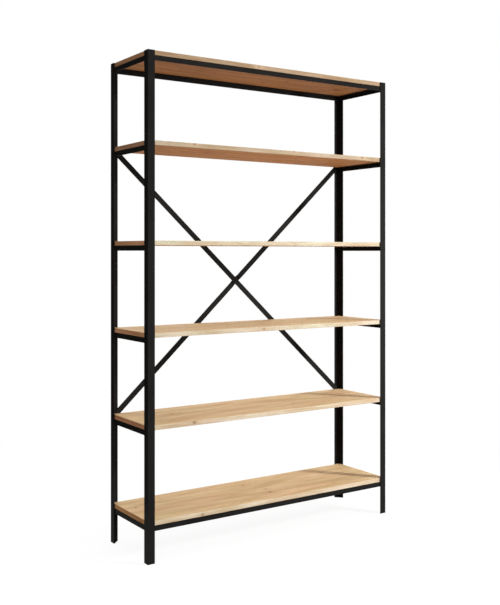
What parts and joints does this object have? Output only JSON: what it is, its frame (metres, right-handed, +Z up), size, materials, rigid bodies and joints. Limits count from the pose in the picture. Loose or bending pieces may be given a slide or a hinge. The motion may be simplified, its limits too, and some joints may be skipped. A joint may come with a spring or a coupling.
{
  "type": "bookcase",
  "caption": "Tall open bookcase: oak boards on short angle rails in a black angle-iron frame, with a flat-bar cross brace behind.",
  "frame": {"origin": "on the floor, under the middle of the bookcase's overall box", "axes": "+Z up, +X to the right as seen from the front, and the front faces -Y"},
  "size_m": [1.2, 0.3282, 1.94],
  "materials": {
    "black_powder_coat": "matt black powder coat on steel",
    "oiled_oak": "oiled light knotty oak, grain along the board",
    "black_zinc": "black zinc-plated fasteners"
  },
  "bodies": {
    "root": {"post_front_left": "black_powder_coat", "post_front_right": "black_powder_coat", "post_rear_left": "black_powder_coat", "post_rear_right": "black_powder_coat", "foot_plate_front_left": "black_powder_coat", "foot_plate_front_right": "black_powder_coat", "foot_plate_rear_left": "black_powder_coat", "foot_plate_rear_right": "black_powder_coat", "side_rail_left_1": "black_powder_coat", "side_rail_left_2": "black_powder_coat", "side_rail_left_3": "black_powder_coat", "side_rail_left_4": "black_powder_coat", "side_rail_left_5": "black_powder_coat", "side_rail_left_6": "black_powder_coat", "side_rail_right_1": "black_powder_coat", "side_rail_right_2": "black_powder_coat", "side_rail_right_3": "black_powder_coat", "side_rail_right_4": "black_powder_coat", "side_rail_right_5": "black_powder_coat", "side_rail_right_6": "black_powder_coat", "rail_front_top": "black_powder_coat", "rail_front_bottom": "black_powder_coat", "rail_rear_top": "black_powder_coat", "rail_rear_bottom": "black_powder_coat", "brace_straight": "black_powder_coat", "brace_joggled": "black_powder_coat", "brace_rivet": "black_powder_coat", "shelf_1": "oiled_oak", "shelf_2": "oiled_oak", "shelf_3": "oiled_oak", "shelf_4": "oiled_oak", "shelf_5": "oiled_oak", "shelf_6": "oiled_oak", "rail_nut_front_left_top": "black_zinc", "rail_nut_front_left_bottom": "black_zinc", "rail_nut_front_right_top": "black_zinc", "rail_nut_front_right_bottom": "black_zinc", "rail_nut_rear_left_top": "black_zinc", "rail_nut_rear_left_bottom": "black_zinc", "rail_nut_rear_right_top": "black_zinc", "rail_nut_rear_right_bottom": "black_zinc", "wood_screw_left_1": "black_zinc", "wood_screw_left_2": "black_zinc", "wood_screw_left_3": "black_zinc", "wood_screw_left_4": "black_zinc", "wood_screw_left_5": "black_zinc", "wood_screw_left_6": "black_zinc", "wood_screw_right_1": "black_zinc", "wood_screw_right_2": "black_zinc", "wood_screw_right_3": "black_zinc", "wood_screw_right_4": "black_zinc", "wood_screw_right_5": "black_zinc", "wood_screw_right_6": "black_zinc", "brace_screw_upper_left": "black_zinc", "brace_screw_upper_right": "black_zinc", "brace_screw_lower_left": "black_zinc", "brace_screw_lower_right": "black_zinc"}
  },
  "joints": []
}
